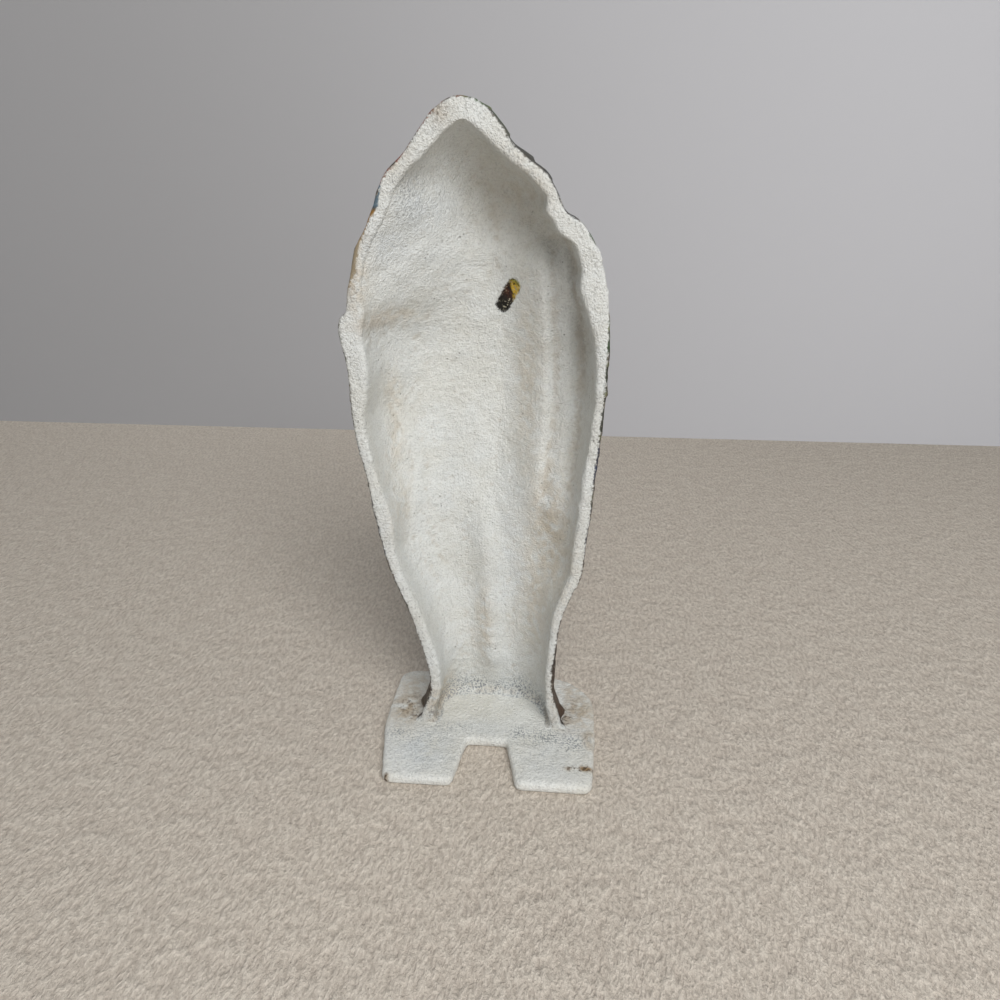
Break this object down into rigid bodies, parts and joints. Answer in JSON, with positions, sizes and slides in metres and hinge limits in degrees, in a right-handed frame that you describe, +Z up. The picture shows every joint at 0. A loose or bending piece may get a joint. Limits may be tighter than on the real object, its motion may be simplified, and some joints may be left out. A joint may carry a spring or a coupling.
{
  "type": "doorstop",
  "caption": "Figural doorstop: a hollow-backed perched bird on a stump with a flat foot plate, notched between its rear feet.",
  "frame": {"origin": "on the underside of the foot plate, at the middle of its width below the figure's back rim", "axes": "+Z up; +Y out of the open hollow back; +X to the right when the painted front is looked at"},
  "size_m": [0.1089, 0.0843, 0.2705],
  "materials": {
    "figure_paint": "old matt paint over rough sand-cast iron: off-white in the hollow, bird colours on the front",
    "plate_paint": "old matt paint over rough sand-cast iron: off-white feet, cream edges in front, worn and speckled"
  },
  "bodies": {
    "root": {"figure_shell": "figure_paint", "foot_plate": "plate_paint"}
  },
  "joints": []
}
